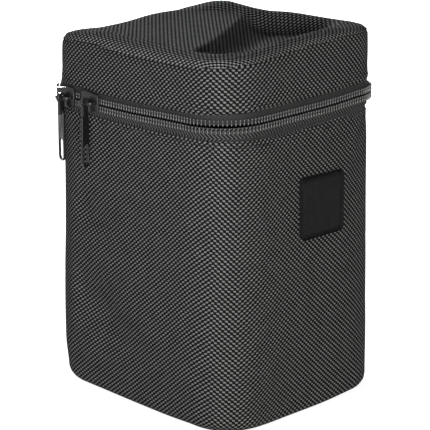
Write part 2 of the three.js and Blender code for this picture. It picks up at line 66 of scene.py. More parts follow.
# Heights of the pieces inside
LINING_FOOT = 8.4
FLOOR_TOP = 9.2
FOAM_TOP = 130.0
LINING_TOP = 130.05
MOUTH = 130.95
LID_MOUTH = 137.05
LID_LINING_LOW = 137.95
LID_FOAM_LOW = 138.0
CEILING_LOW = 147.8
CEILING_RISE = 4.0
LID_FOAM_TOP = 151.5
LID_LINING_TOP = 152.0

# The panels that lie inside the lining, from the outline, and how the floor's edge lifts
FLOOR_OUT = -8.1
FLOOR_EDGE = 0.9
FLOOR_LIFT = 0.3
CEILING_OUT = -8.3

# The padded pieces, and how far their faces may swell
BASE_PAD = 7.5
BODY_PAD = 3.0
BODY_SWELL = 0.6
LID_PAD = 4.0
LID_SWELL = 0.4
TOP_PAD = 3.6
TOP_SWELL = 0.8
SWELL_PRESSURE = 4
SWELL_STEPS = 20

# The outer cloth: cells along the wall, ends at the back seams, the fold, and the lid's wall and top seam
CELL = 2.0
SEAM_GAP = 0.15
FOLD_DEPTH = 0.7
FOLD_HALF = 2.2
LID_FULL = 0.25
SEAM_TUCK = 1.0
SEAM_REACH = 1.6

# The zip; a turn of the coil has two lobes, placed and sized as shares of its half length
CHAIN_HALF = 3.05
CHAIN_SPLIT = 0.5
COIL_PITCH = 1.6
COIL_INSET = 1.2
COIL_LOW = 1.4
COIL_HIGH = 2.6
TURN_HALF = 0.38
LOBE_MIDDLE = 0.55
LOBE_HALF = 0.47
LOBE_LEAST = 0.08
TAPE = 0.6
TAPE_INSET = 0.3
TAPE_START = 0.65
TAPE_WIDE = 9.6

# How the tapes fall from the coil to their seams: (distance from the zip's middle, out)
UPPER_TAPE_FALL = ((0.65, 1.1), (2.9, 1.1), (3.3, 0.55), (4.65, 0.55), (7.25, -1.3), (11, -1.3))
LOWER_TAPE_FALL = ((0.65, 1.1), (2.9, 1.1), (3.3, 0.55), (5.6, 0.55), (7.25, -1.3), (11, -1.3))

# The sliders, on the left wall; SHIELD is half of a plate's outline, as shares of its half sizes
SIDE_SLIDER_Y = 21.5
CORNER_SLIDER_Y = 37
SLIDER_HALF = 5.5
SLIDER_WIDE = 4.6
SHIELD = ((-1, -0.76), (0.45, -1), (0.85, -0.92), (1, -0.45))
UNDER_LONG = 0.78
UNDER_WIDE = 0.86
PLATE = 1.0
PLATE_OUT = 3.5
UNDER_OUT = -1.15
PLATE_EDGE = 0.2
POST = 3.9
POST_OUT = 1.1
POST_ALONG = 4.0
POST_RADIUS = 0.42
POST_EDGE = 0.05

# The bridges on the sliders
CROWN_WIDE = 1.4
CROWN_EDGE = 0.25
CROWN_FOOT = 4.3
CROWN_HALF = 4.2
CROWN_TOP = 7.15
CROWN_ROUND = 1.5
OPENING_HALF = 3.2
OPENING_TOP = 5.95
OPENING_ROUND = 0.6

# The pulls, from their axis
PULL_AXIS = 6.55
EYE_RADIUS = 2.25
EYE_HOLE = 1.25
EYE_THICK = 1.8
EYE_EDGE = 0.35
NECK_HALF = 1.4
NECK_LOW = -7.4
NECK_ANGLE = 51.6
TAB_HALF = 2.65
TAB_LOW = -28
TAB_TOP = -4.75
TAB_THICK = 1.1
TAB_EDGE = 0.25
SLOT_HALF = 1.85
SLOT_LOW = -27.2
SLOT_TOP = -18.0
SIDE_TAB_TURN = 17
CORNER_TAB_TURN = 76

# The patch; its pressed line is a row of insets: (width, depth)
PATCH_X = 8
PATCH_Z = 92
PATCH_WIDE = 26
PATCH_TALL = 27
PATCH_THICK = 1.4
PATCH_ROUND = 2
PRESSED_LINE = ((0.3, 0.15), (0.5, 0.0), (0.25, 0.14), (0.3, 0.0), (0.25, -0.14))

# The belt loop
LOOP_WIDTH = 40
LOOP_Z = 74
LOOP_CLEAR = 42
LOOP_GAP = 6.5
LOOP_RAMP = 8
LOOP_SEWN = 12
WEBBING = 1.6

# Stitches: half lengths, half thicknesses and pitches
BARTACK_COUNT = 42
BARTACK_PITCH = 0.8
BARTACK_START = -16.5
BARTACK_HALF = 1.25
BARTACK_SLANT = 0.5
BARTACK_WIDE = 0.42
BARTACK_THICK = 0.35
BARTACK_LIFT = 0.1
STITCH_PITCH = 3
STITCH_HALF = 1.15
STITCH_THICK = 0.22
STITCH_INSET = 2.3
STITCH_START = 3
STITCH_ENDS = 5
STITCH_LIFT = 0.1

# Places along the wall, measured round the outline from the middle of the back by the left side
END_RUN = 2 * (HALF_WIDTH - CORNER)
SIDE_RUN = 2 * (HALF_DEPTH - CORNER)
BEND = CORNER * math.pi / 2
LEFT_START = END_RUN / 2 + BEND
LEFT_END = LEFT_START + SIDE_RUN
FRONT_START = LEFT_END + BEND
FRONT_END = FRONT_START + END_RUN
RIGHT_START = FRONT_END + BEND
RIGHT_END = RIGHT_START + SIDE_RUN
BACK_START = RIGHT_END + BEND
PERIMETER = BACK_START + END_RUN / 2
LEFT_SEAM = END_RUN / 2 + CORNER * math.radians(SEAM_ANGLE)
RIGHT_SEAM = PERIMETER - LEFT_SEAM
CORNER_X = HALF_WIDTH - CORNER
CORNER_Y = HALF_DEPTH - CORNER
STOPS = (
    0, END_RUN / 2, LEFT_START, LEFT_END, FRONT_START,
    FRONT_END, RIGHT_START, RIGHT_END, BACK_START, PERIMETER,
)
TURN = (90, 90, 180, 180, 270, 270, 360, 360, 450, 450)
CENTRE_X = (0, *[-CORNER_X] * 4, *[CORNER_X] * 4, 0)
CENTRE_Y = (*[CORNER_Y] * 3, *[-CORNER_Y] * 4, *[CORNER_Y] * 3)


def left(y):
    """The place along the wall of a point on the left side."""
    return LEFT_START + CORNER_Y - y


def front(x):
    """The place along the wall of a point on the front."""
    return FRONT_START + CORNER_X + x


def right(y):
    """The place along the wall of a point on the right side."""
    return RIGHT_START + CORNER_Y + y


def back(x):
    """The place along the wall of a point on the back."""
    return -x % PERIMETER


# Heights that change along the wall: (place, height)
CHAIN_LINE = (
    (left(40), 133.7), (left(18), 133.0), (left(-6), 132.8), (left(-22), 133.3), (left(-34), 133.4),
    (front(-31), 133.6), (front(0), 134.4), (front(18), 135.0), (front(31), 136.0), (right(-30), 135.4),
    (right(20), 134.0),
)
BODY_EDGE_LINE = (
    (left(40), 127.4), (left(0), 127.2), (left(-34), 127.6), (front(-33), 126.4), (front(-15), 125.2),
    (front(2), 126.0), (front(20), 127.4), (front(32), 129.2), (right(-30), 128.4), (right(20), 126.8),
)
LID_EDGE_LINE = (
    (left(40), 138.2), (left(20), 137.4), (left(-10), 137.3), (left(-31), 137.5), (front(-40), 138.6),
    (front(-10), 139.2), (front(14), 139.8), (front(32), 140.9), (right(-30), 141.2),
    (right(20), 141.2),
)
BASE_BEND_LINE = (
    (back(0), 6.0), (left(44), 6.9), (left(24), 6.4), (left(4), 5.3), (left(-22), 5.4),
    (left(-36), 6.9), (front(-38), 4.5), (front(-25), 2.2), (front(8), 2.2), (front(20), 3.2),
    (front(30), 4.4), (right(-34), 5.2), (right(-10), 5.2),
)
SEAM_LINE = (
    (back(0), 156.2), (back(-24), 156.2), (left(46), 157.0), (left(36), 158.8), (left(17), 158.3),
    (left(4), 156.7), (left(-14), 156.7), (left(-33), 156.6), (front(-38), 158.1), (front(-4), 161.4),
    (front(18), 162.9), (front(29), 163.3), (right(-34), 162.0), (right(0), 160.6), (right(34), 161.2),
    (back(36), 160.0), (back(18), 157.6),
)
CREST_LINE = (
    (back(0), 160.2), (back(-10), 159.4), (back(-24), 158.8), (left(46), 161.0), (left(35), 162.6),
    (left(17), 162.2), (left(0), 161.5), (left(-33), 160.9), (front(-34), 161.0), (front(-22), 161.8),
    (front(-5), 163.6), (front(13), 164.6), (front(30), 165.2), (right(-34), 164.4), (right(-5), 164.2),
    (right(14), 163.0), (right(30), 164.2), (right(44), 165.5), (back(42), 163.5), (back(35), 161.8),
    (back(25), 161.6), (back(10), 161.4),
)

# Distances out of the plain outline at the seen wall's left end and right end: (height, out)
LEFT_STAND = ((8, 0.0), (18, 0.95), (36, 0.95), (55, 0.7), (70, 0.2), (101, -0.2), (127, -0.15))
RIGHT_STAND = (
    (0, 1.7), (16, 1.2), (40, 0.55), (63, 0.25), (86, -0.25), (114, -0.7), (120, -1.0), (124, -1.4),
    (128, -2.3),
)

# Distances out of the plain outline along the wall: (place, out)
RIGHT_ROUND = (
    (front(21), 0.0), (front(25), -0.2), (front(29), -0.6), (front(33), -1.0), (front(37), -1.1),
    (front(41), -0.8), (front(45), 0.1), (front(49), 1.0), (front(53), 1.7), (front(57), 1.6),
    (right(-34), 1.1), (right(-16), 0.0),
)
ZIP_STAND = ((left(40), 0.0), (front(12), 0.0), (front(36), -1.1), (right(-30), -1.1), (right(20), 0.0))
LID_STAND = (
    (back(0), 0.0), (left(46), -0.5), (left(36), -0.4), (left(14), 0.2), (left(-34), 0.4),
    (front(-34), 0.4), (front(14), 0.0), (front(36), -0.8), (right(-30), -0.7), (right(30), -0.2),
    (back(40), -0.4),
)

# How thick the lid's hem is along the wall, as a share of the body's: (place, share)
HEM_LINE = (
    (left(44), 0.8), (left(24), 1.4), (front(20), 1.6), (front(38), 0.7), (right(-30), 0.7),
    (right(20), 1.2),
)

# The right corner's roundness fades towards the base: (height, share)
ROUND_FADE = ((4, 0.25), (28, 1.0))

# Soft dents of the left wall: depth, place, half width, height, slope, where it starts, half height
DENTS = (
    (2.0, left(28), 19, 84, 0.2, left(30), 7),
    (3.4, left(22), 26, 42, 0.5, left(24), 13),
)
DENT_START = left(48)
DENT_EASE = 14

# Faint waves all over the wall
WAVE_DEPTH = 0.18
WAVE_ALONG = 11
WAVE_UP = 17
WAVE_SLANT = 23

# The lid's top: a shelf, a trough in front of it and the rim
SHELF_EDGE = (-1.5, -4.5)
SHELF_TURN = 30
SHELF_HEIGHT = 158.8
SHELF_TILT = 0.02
SHELF_CURVE = 0.0009
TROUGH_DEPTH = 6.2
TROUGH_REACH = 15
TROUGH_RUN = 50
TROUGH_FADE = 0.3
TROUGH_SLOPE = 0.1
RIM_START = 0.74
CREST_SHARE = 0.885
RIM_CLOTH = 0.8

# The camera that fits the photograph, and what the lamps are aimed at, in metres
CAMERA_TURN = -44.6
CAMERA_RISE = 15.7
CAMERA_REACH = 0.8
CAMERA_TARGET = (0.0004, 0, 0.0775)
CAMERA_LENS = 149.6
CAMERA_SENSOR = 36
LAMP_TARGET = (0, 0, 0.08)

# The floor's width in metres, its grey and its glow, and the surround's even light
STAGE_WIDE = 8
STAGE_GREY = 0.3
STAGE_GLOW = 0.9
EVEN_LIGHT = 0.03


def along(s, line, reach=7):
    """The value at each place s of a line of (place, value) pairs, eased over a short reach."""
    places, values = zip(*line)
    shifts = np.linspace(-reach, reach, 7)
    return np.mean([np.interp(s + d, places, values, period=PERIMETER) for d in shifts], axis=0)


def on_wall(s, out, height):
    """Points on the wall in metres, from the place along it, the distance out of it and the height."""
    s = np.asarray(s, float) % PERIMETER
    angle = np.radians(np.interp(s, STOPS, TURN))
    reach = CORNER + out
    x = np.interp(s, STOPS, CENTRE_X) + reach * np.cos(angle)
    y = np.interp(s, STOPS, CENTRE_Y) + reach * np.sin(angle)
    return np.stack((x, y, height + 0 * x), axis=1) * MM


def hump(value, middle, width):
    """A soft bump that is 1 in the middle and fades over the width."""
    return np.exp(-((value - middle) / width) ** 2)


def ease(share):
    """Goes from 0 to 1 with a soft start and end."""
    return share * share * (3 - 2 * share)


# Modelling


def pick(piece):
    """Makes this the only selected object."""
    bpy.ops.object.select_all(action="DESELECT")
    piece.select_set(True)
    bpy.context.view_layer.objects.active = piece


def add(name, operation, **settings):
    """Adds a primitive and names it."""
    bpy.ops.object.select_all(action="DESELECT")
    operation(**settings)
    piece = bpy.context.active_object
    piece.name = name
    piece.data.name = name
    return piece


def add_bead(name, segments, rings):
    """A round bead of radius 1, which stitches and coil turns are made from."""
    return add(name, bpy.ops.mesh.primitive_uv_sphere_add, segments=segments, ring_count=rings, radius=1)


def points(piece):
    """The piece's points as rows of x, y and z."""
    flat = np.empty(3 * len(piece.data.vertices))
    piece.data.vertices.foreach_get("co", flat)
    return flat.reshape(-1, 3)


def place(piece, spots):
    """Moves the piece's points to these spots."""
    piece.data.vertices.foreach_set("co", spots.ravel())
    piece.data.update()


def set_grain(piece, grain):
    """Keeps where each point lay on the flat cloth, in metres, so that the weave follows the cut."""
    corners = np.empty(len(piece.data.loops), int)
    piece.data.loops.foreach_get("vertex_index", corners)
    piece.data.uv_layers[0].data.foreach_set("uv", grain[corners].ravel())


def finish_with(piece, kind, **settings):
    """Adds a modifier with these settings and applies it."""
    pick(piece)
    modifier = piece.modifiers.new(kind.lower(), kind)
    for name, value in settings.items():
        setattr(modifier, name, value)
    bpy.ops.object.modifier_apply(modifier=modifier.name)


def repeat(piece, count, pitch):
    """Repeats a piece in a row along X."""
    finish_with(
        piece, "ARRAY", count=count, use_relative_offset=False,
        use_constant_offset=True, constant_offset_displace=(pitch, 0, 0),
    )


def edit_all(piece, operation, **settings):
    """Does one mesh operation on the whole piece."""
    pick(piece)
    bpy.ops.object.mode_set(mode="EDIT")
    bpy.ops.mesh.select_all(action="SELECT")
    operation(**settings)
    bpy.ops.object.mode_set(mode="OBJECT")


def thicken(piece, thickness):
    """Gives a sheet its thickness, on the side away from its face."""
    finish_with(piece, "SOLIDIFY", thickness=thickness * MM, offset=-1, use_even_offset=True)


def pad(piece, thickness, most, foot=0):
    """Pads a sheet. Its face swells by so much at most, held at its sewn edges and below the foot."""
    pick(piece)
    bpy.ops.object.mode_set(mode="EDIT")
    bpy.ops.mesh.select_mode(type="VERT")
    bpy.ops.mesh.select_all(action="DESELECT")
    bpy.ops.mesh.select_non_manifold()
    bpy.ops.object.mode_set(mode="OBJECT")
    held = [point.index for point in piece.data.vertices if point.select or point.co.z < foot * MM]
    piece.vertex_groups.new(name="sewn").add(held, 1.0, "REPLACE")
    thicken(piece, thickness)
    before = points(piece)
    cloth = piece.modifiers.new("cloth", "CLOTH")
    # The group goes by its name, because thickening makes it anew
    cloth.settings.vertex_group_mass = "sewn"
    cloth.settings.use_pressure = True
    cloth.settings.uniform_pressure_force = SWELL_PRESSURE
    cloth.settings.effector_weights.gravity = 0
    for step in range(1, SWELL_STEPS + 1):
        bpy.context.scene.frame_set(step)
    bpy.ops.object.modifier_apply(modifier=cloth.name)
    bpy.context.scene.frame_set(1)
    moved = points(piece) - before
    far = np.linalg.norm(moved, axis=1, keepdims=True)
    place(piece, before + moved * np.minimum(1, most * MM / np.maximum(far, 1e-9)))


def smooth(piece, angle=40):
    """Shades a piece smooth, but for edges that turn by more than the angle."""
    pick(piece)
    bpy.ops.object.shade_smooth_by_angle(angle=math.radians(angle))


def close_ring(piece):
    """Joins points that lie on each other, such as the two ends of a band that goes all the way round."""
    edit_all(piece, bpy.ops.mesh.remove_doubles, threshold=0.00001)


def cut_cloth(name, columns, rows):
    """A flat cut of cloth as a grid, with each point's share of its width and length."""
    piece = add(name, bpy.ops.mesh.primitive_grid_add, x_subdivisions=columns, y_subdivisions=rows, size=1)
    return piece, points(piece)[:, :2] + 0.5


def wall_cloth(name, start, end, step, rows, profile):
    """Cloth wrapped along the wall. The profile gives its distance out, height and length up the cut."""
    columns = round((end - start) / step)
    piece, share = cut_cloth(name, columns, rows)
    s = start + share[:, 0] * (end - start)
    out, height, length = profile(s, share[:, 1])
    place(piece, on_wall(s, out, height))
    set_grain(piece, np.stack((s, length), axis=1) * MM)
    return piece


def straight_up(out, low, high):
    """The profile of cloth that stands straight at one distance out of the wall."""
    return lambda s, share: (out + 0 * s, low + share * (high - low), share * (high - low))


def panel_cloth(name, cells, out, level, turned=False):
    """A panel rounded to the pouch's outline. Turned, its grain goes a quarter round and over the rim."""
    piece, share = cut_cloth(name, cells, cells)
    a, b = (2 * share - 1).T
    ring = np.maximum(np.abs(a), np.abs(b))
    safe = np.maximum(ring, 1e-6)
    p, q = a / safe, b / safe
    first = END_RUN / 2 + BEND / 2
    side = SIDE_RUN + BEND
    end = END_RUN + BEND
    near = 1 - 1e-5
    s = np.select(
        [p < -near, q < -near, p > near],
        [
            first + side * (1 - q) / 2,
            first + side + end * (1 + p) / 2,
            first + side + end + side * (1 + q) / 2,
        ],
        first + 2 * side + end + end * (1 - p) / 2,
    )
    spots = on_wall(s, out(s) if callable(out) else out, 0) * ring[:, None]
    spots[:, 2] = level(s, ring) * MM
    place(piece, spots)
    if turned:
        drop = np.where(ring > CREST_SHARE, along(s, CREST_LINE) * MM - spots[:, 2], 0)
        outward = (on_wall(s, 1, 0) - on_wall(s, 0, 0)) / MM
        x, y, _ = (spots + outward * RIM_CLOTH * drop[:, None]).T
        set_grain(piece, np.stack((-y, x), axis=1))
    else:
        set_grain(piece, spots[:, :2])
    return piece


def wrap(piece, height, out):
    """Wraps a strip that was made flat, X along the wall, Y out of it and Z up, round the pouch."""
    x, y, z = points(piece).T
    place(piece, on_wall(x, y + out(x), z + height(x)))


def cut_plate(name, outlines, thickness, edge):
    """A plate in X and Y, cut to outlines in millimetres and rounded at its edges."""
    curve = bpy.data.curves.new(name, "CURVE")
    curve.dimensions = "2D"
    curve.fill_mode = "BOTH"
    curve.extrude = (thickness / 2 - edge) * MM
    curve.bevel_depth = edge * MM
    curve.bevel_resolution = 2
    curve.offset = -edge * MM
    for outline in outlines:
        spline = curve.splines.new("POLY")
        spline.points.add(len(outline) - 1)
        for point, (x, y) in zip(spline.points, outline):
            point.co = (x * MM, y * MM, 0, 1)
        spline.use_cyclic_u = True
    piece = bpy.data.objects.new(name, curve)
    bpy.context.scene.collection.objects.link(piece)
    pick(piece)
    bpy.ops.object.convert(target="MESH")
    close_ring(piece)
    return piece


def arc(x, y, radius, start, end, steps):
    """Points along a circle's arc, its ends in degrees."""
    angles = [math.radians(start + (end - start) * i / steps) for i in range(steps + 1)]
    return [(x + radius * math.cos(a), y + radius * math.sin(a)) for a in angles]


def circle(x, radius, count):
    """Points round a whole circle that stands on the X axis."""
    return arc(x, 0, radius, 0, 360 - 360 / count, count - 1)


def stadium(half, low, high):
    """The outline of a bar with round ends."""
    return arc(0, high - half, half, 0, 180, 10) + arc(0, low + half, half, 180, 360, 10)


def arch(half, foot, top, bend, steps):
    """The line of an arch with round shoulders, from its left foot to its right foot."""
    x, y = half - bend, top - bend
    shoulders = arc(-x, y, bend, 180, 90, steps) + arc(x, y, bend, 90, 0, steps)
    return [(-half, foot)] + shoulders + [(half, foot)]


def join(pieces):
    """Makes one piece of several; the first keeps its name."""
    bpy.ops.object.select_all(action="DESELECT")
    for piece in pieces:
        piece.select_set(True)
    bpy.context.view_layer.objects.active = pieces[0]
    bpy.ops.object.join()
    return pieces[0]


def dress(piece, material, body, slot, *nodes):
    """Gives a piece its material, and says what it moves with; hides the solids it stands for."""
    piece.data.materials.clear()
    piece.data.materials.append(material)
    if body:
        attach(piece, body)
    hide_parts(*nodes)


# Materials


def feed(tree, socket, value):
    if isinstance(value, bpy.types.NodeSocket):
        tree.links.new(value, socket)
    else:
        socket.default_value = value


def calc(tree, operation, *values):
    """One step of arithmetic on sockets and numbers."""
    node = tree.nodes.new("ShaderNodeMath")
    node.operation = operation
    for socket, value in zip(node.inputs, values):
        feed(tree, socket, value)
    return node.outputs[0]


def rescale(tree, value, low, high, to_low=0.0, to_high=1.0):
    """Eases a value from one range into another."""
    node = tree.nodes.new("ShaderNodeMapRange")
    node.interpolation_type = "SMOOTHSTEP"
    for socket, given in zip(node.inputs, (value, low, high, to_low, to_high)):
        feed(tree, socket, given)
    return node.outputs[0]


def tint(tree, share, low, high):
    """A colour between two colours."""
    node = tree.nodes.new("ShaderNodeMix")
    node.data_type = "RGBA"
    feed(tree, node.inputs[0], share)
    feed(tree, node.inputs[6], low)
    feed(tree, node.inputs[7], high)
    return node.outputs[2]


def noise(tree, vector, scale):
    """Cloudy noise from 0 to 1."""
    node = tree.nodes.new("ShaderNodeTexNoise")
    tree.links.new(vector, node.inputs["Vector"])
    node.inputs["Scale"].default_value = scale
    return node.outputs["Fac"]


def split(tree, vector):
    node = tree.nodes.new("ShaderNodeSeparateXYZ")
    tree.links.new(vector, node.inputs[0])
    return node.outputs[0], node.outputs[1]


def new_group(name, takes, gives):
    """A node group with these inputs and outputs: (name, kind of socket)."""
    group = bpy.data.node_groups.new(name, "ShaderNodeTree")
    for label, kind in takes:
        group.interface.new_socket(name=label, in_out="INPUT", socket_type=kind)
    for label, kind in gives:
        group.interface.new_socket(name=label, in_out="OUTPUT", socket_type=kind)
    return group, group.nodes.new("NodeGroupInput").outputs, group.nodes.new("NodeGroupOutput").inputs


# How the painted yarn highlights lean, painted as the lit slanted sides of the yarns; the places where they
# turn to lean the other way, and how the cloth is skewed
YARN_LEAN = 0.45
LEAN_TURNS = front(-14)
LEAN_EASE = 20
TURNED_LEAN = (front(-51), front(-40))
TURNED_EASE = 2
CLOTH_SKEW = 0.075

# Kinds of sockets
FLOAT = "NodeSocketFloat"
COLOUR = "NodeSocketColor"
VECTOR = "NodeSocketVector"


def weave_group():
    """Thick yarns over and under each other. Crosswise ones catch the light as a painted highlight in their
    colour; upright ones are dark.
    """
    takes = [("Vector", VECTOR), ("Across", FLOAT), ("Up", FLOAT), ("Gap", COLOUR), ("Yarn", COLOUR)]
    group, given, out = new_group("woven_yarns_painted_highlight", takes, [("Colour", COLOUR), ("Height", FLOAT)])
    x, y = split(group, given["Vector"])
    up = calc(group, "DIVIDE", y, given["Up"])
    in_row = calc(group, "SUBTRACT", calc(group, "FRACT", up), 0.5)
    low, high = (LEAN_TURNS - LEAN_EASE) * MM, (LEAN_TURNS + LEAN_EASE) * MM
    lean = rescale(group, x, low, high, YARN_LEAN, -YARN_LEAN)
    for place_on in TURNED_LEAN:
        low, high = (place_on - TURNED_EASE) * MM, (place_on + TURNED_EASE) * MM
        flip = rescale(group, x, low, high, 1.0, -1.0)
        lean = calc(group, "MULTIPLY", lean, flip)
    skewed = calc(group, "MULTIPLY_ADD", y, -CLOTH_SKEW, x)
    across = calc(group, "DIVIDE", skewed, given["Across"])
    leaning = calc(group, "SUBTRACT", across, calc(group, "MULTIPLY", in_row, lean))
    row = calc(group, "SINE", calc(group, "MULTIPLY", up, math.pi))
    column = calc(group, "SINE", calc(group, "MULTIPLY", leaning, math.pi))
    over = calc(group, "MULTIPLY", column, calc(group, "SIGN", row))
    thick = rescale(group, calc(group, "ABSOLUTE", row), 0.05, 0.8)
    # Painted highlight: crosswise yarns that lie over are painted pale, with fine shine stripes, as their
    # sheen under the lamps
    crosswise = calc(group, "MULTIPLY", rescale(group, over, -0.35, 0.6), thick)
    upright = rescale(group, over, -0.2, -1.0, 0.0, 0.03)
    strands = calc(group, "SINE", calc(group, "MULTIPLY", up, 6 * math.pi))
    shine = calc(group, "MULTIPLY_ADD", strands, 0.08, 0.92)
    patches = calc(group, "MULTIPLY_ADD", noise(group, given["Vector"], 150.0), 0.5, 0.75)
    lit = calc(group, "MULTIPLY", calc(group, "MULTIPLY", crosswise, shine), patches)
    shade = calc(group, "MAXIMUM", lit, upright)
    group.links.new(tint(group, shade, given["Gap"], given["Yarn"]), out["Colour"])
    group.links.new(calc(group, "MULTIPLY_ADD", strands, 0.05, crosswise), out["Height"])
    return group


def twill_group():
    """Fine slanting ribs, which turn about in bands to make a herringbone."""
    takes = [("Vector", VECTOR), ("Pitch", FLOAT), ("Band", FLOAT), ("Gap", COLOUR), ("Yarn", COLOUR)]
    group, given, out = new_group("twill_ribs", takes, [("Colour", COLOUR), ("Height", FLOAT)])
    x, y = split(group, given["Vector"])
    fold = calc(group, "PINGPONG", y, given["Band"])
    slant = calc(group, "ADD", x, fold)
    turns = calc(group, "DIVIDE", calc(group, "MULTIPLY", slant, 2 * math.pi), given["Pitch"])
    rib = rescale(group, calc(group, "SINE", turns), -0.9, 0.9)
    turns = calc(group, "DIVIDE", calc(group, "MULTIPLY", y, 4 * math.pi), given["Pitch"])
    cross = calc(group, "SINE", turns)
    lit = calc(group, "MULTIPLY", rib, calc(group, "MULTIPLY_ADD", cross, 0.12, 0.88))
    cloudy = calc(group, "MULTIPLY_ADD", noise(group, given["Vector"], 260.0), 0.4, 0.8)
    shade = calc(group, "MULTIPLY", lit, cloudy)
    group.links.new(tint(group, shade, given["Gap"], given["Yarn"]), out["Colour"])
    group.links.new(rib, out["Height"])
    return group


def grain_group():
    """Fine pebbled grain with softer blotches, for leather, plastic and paint."""
    takes = [("Vector", VECTOR), ("Scale", FLOAT)]
    group, given, out = new_group("fine_grain", takes, [("Pebbles", FLOAT), ("Blotches", FLOAT)])
    cells = group.nodes.new("ShaderNodeTexVoronoi")
    group.links.new(given["Vector"], cells.inputs["Vector"])
    group.links.new(given["Scale"], cells.inputs["Scale"])
    group.links.new(cells.outputs["Distance"], out["Pebbles"])
    soft = group.nodes.new("ShaderNodeTexNoise")
    group.links.new(given["Vector"], soft.inputs["Vector"])
    group.links.new(calc(group, "MULTIPLY", given["Scale"], 0.25), soft.inputs["Scale"])
    group.links.new(soft.outputs["Fac"], out["Blotches"])
    return group


WEAVE = weave_group()
TWILL = twill_group()
GRAIN = grain_group()


def new_material(name, roughness, specular):
    """A material whose plain values sit on the shader, with its node tree and shader."""
    made = bpy.data.materials.new(name)
    made.use_nodes = True
    shader = made.node_tree.nodes["Principled BSDF"]
    shader.inputs["Roughness"].default_value = roughness
    shader.inputs["Specular IOR Level"].default_value = specular
    return made, made.node_tree, shader


def place_group(tree, group, coordinates, **values):
    """Puts a node group in a material, read from the given coordinates."""
    node = tree.nodes.new("ShaderNodeGroup")
    node.node_tree = group
    source = tree.nodes.new("ShaderNodeTexCoord")
    tree.links.new(source.outputs[coordinates], node.inputs["Vector"])
    for name, value in values.items():
        node.inputs[name].default_value = value
    return node.outputs


def raise_surface(tree, shader, height, depth):
    """Feeds a height of the given depth, in millimetres, to the shader's normal."""
    bump = tree.nodes.new("ShaderNodeBump")
    bump.inputs["Distance"].default_value = depth * MM
    tree.links.new(height, bump.inputs["Height"])
    tree.links.new(bump.outputs["Normal"], shader.inputs["Normal"])


def grey(level, warm=1.0):
    """A near-black or grey, a little warmer above 1 and cooler below."""
    return (level * warm, level, level / warm, 1.0)


def cloth_material(name, group, depth, roughness, specular, gloss=0.0, **values):
    made, tree, shader = new_material(name, roughness, specular)
    shader.inputs["Metallic"].default_value = gloss
    woven = place_group(tree, group, "UV", **values)
    tree.links.new(woven["Colour"], shader.inputs["Base Color"])
    raise_surface(tree, shader, woven["Height"], depth)
    return made


def coil_material():
    made, tree, shader = new_material("coil_nylon", 0.3, 0.6)
    grain = place_group(tree, GRAIN, "Object", Scale=900.0)
    tree.links.new(tint(tree, grain["Blotches"], grey(0.04), grey(0.07)), shader.inputs["Base Color"])
    return made


def leather_material():
    made, tree, shader = new_material("patch_leather", 0.55, 0.04)
    grain = place_group(tree, GRAIN, "Object", Scale=1400.0)
    colour = tint(tree, grain["Blotches"], grey(0.008, 0.98), grey(0.015, 0.98))
    tree.links.new(colour, shader.inputs["Base Color"])
    tree.links.new(rescale(tree, grain["Pebbles"], 0.0, 0.8, 0.48, 0.66), shader.inputs["Roughness"])
    raise_surface(tree, shader, grain["Pebbles"], 0.06)
    return made


def metal_material():
    """Black plated metal, worn paler along its edges."""
    made, tree, shader = new_material("black_metal", 0.3, 0.35)
    grain = place_group(tree, GRAIN, "Object", Scale=700.0)
    sharp = tree.nodes.new("ShaderNodeNewGeometry").outputs["Pointiness"]
    edges = rescale(tree, sharp, 0.52, 0.6)
    worn = calc(tree, "MULTIPLY", edges, rescale(tree, grain["Blotches"], 0.3, 0.6))
    tree.links.new(tint(tree, worn, grey(0.006), grey(0.03)), shader.inputs["Base Color"])
    tree.links.new(rescale(tree, grain["Blotches"], 0.3, 0.7, 0.25, 0.4), shader.inputs["Roughness"])
    return made


def thread_material():
    made, tree, shader = new_material("sewing_thread", 0.6, 0.1)
    grain = place_group(tree, GRAIN, "Object", Scale=3000.0)
    tree.links.new(tint(tree, grain["Blotches"], grey(0.012), grey(0.05)), shader.inputs["Base Color"])
    return made


# The pale yarn grey is a painted highlight, the black nylon yarns' sheen; the gap grey is the cloth's
# near-black
NYLON = cloth_material(
    "ballistic_nylon", WEAVE, 0.1, 0.55, 0.0, gloss=0.1,
    Across=1.25 * MM, Up=1.075 * MM, Gap=grey(0.003), Yarn=grey(0.175),
)
# A lit copy of the nylon: its paler yarns are painted light, drawing the top lighter than the walls as if
# more light fell on it
LID_TOP_NYLON_PAINTED_LIGHTER = cloth_material(
    "lid_top_nylon_painted_lighter", WEAVE, 0.1, 0.6, 0.0,
    Across=1.25 * MM, Up=1.075 * MM, Gap=grey(0.003), Yarn=grey(0.3),
)
LINING_CLOTH = cloth_material(
    "lining_cloth", WEAVE, 0.05, 0.6, 0.05,
    Across=0.42 * MM, Up=0.4 * MM, Gap=grey(0.018), Yarn=grey(0.05),
)
# The upper tape's grey is partly its own and partly painted shade, darkened as if shaded by the lid's
# overhanging hem
UPPER_TAPE = cloth_material(
    "upper_tape_cloth", TWILL, 0.06, 0.65, 0.03,
    Pitch=1.0 * MM, Band=100.0 * MM, Gap=grey(0.012), Yarn=grey(0.058),
)
LOWER_TAPE = cloth_material(
    "lower_tape_cloth", TWILL, 0.15, 0.65, 0.03,
    Pitch=1.7 * MM, Band=2.6 * MM, Gap=grey(0.006), Yarn=grey(0.085),
)
BINDING_CLOTH = cloth_material(
    "binding_cloth", TWILL, 0.12, 0.65, 0.03,
    Pitch=0.9 * MM, Band=100.0 * MM, Gap=grey(0.012), Yarn=grey(0.045),
)
STRAP_CLOTH = cloth_material(
    "strap_webbing", TWILL, 0.25, 0.6, 0.05,
    Pitch=1.8 * MM, Band=5.0 * MM, Gap=grey(0.008), Yarn=grey(0.075),
)
COIL_NYLON = coil_material()
LEATHER = leather_material()
METAL = metal_material()
THREAD = thread_material()


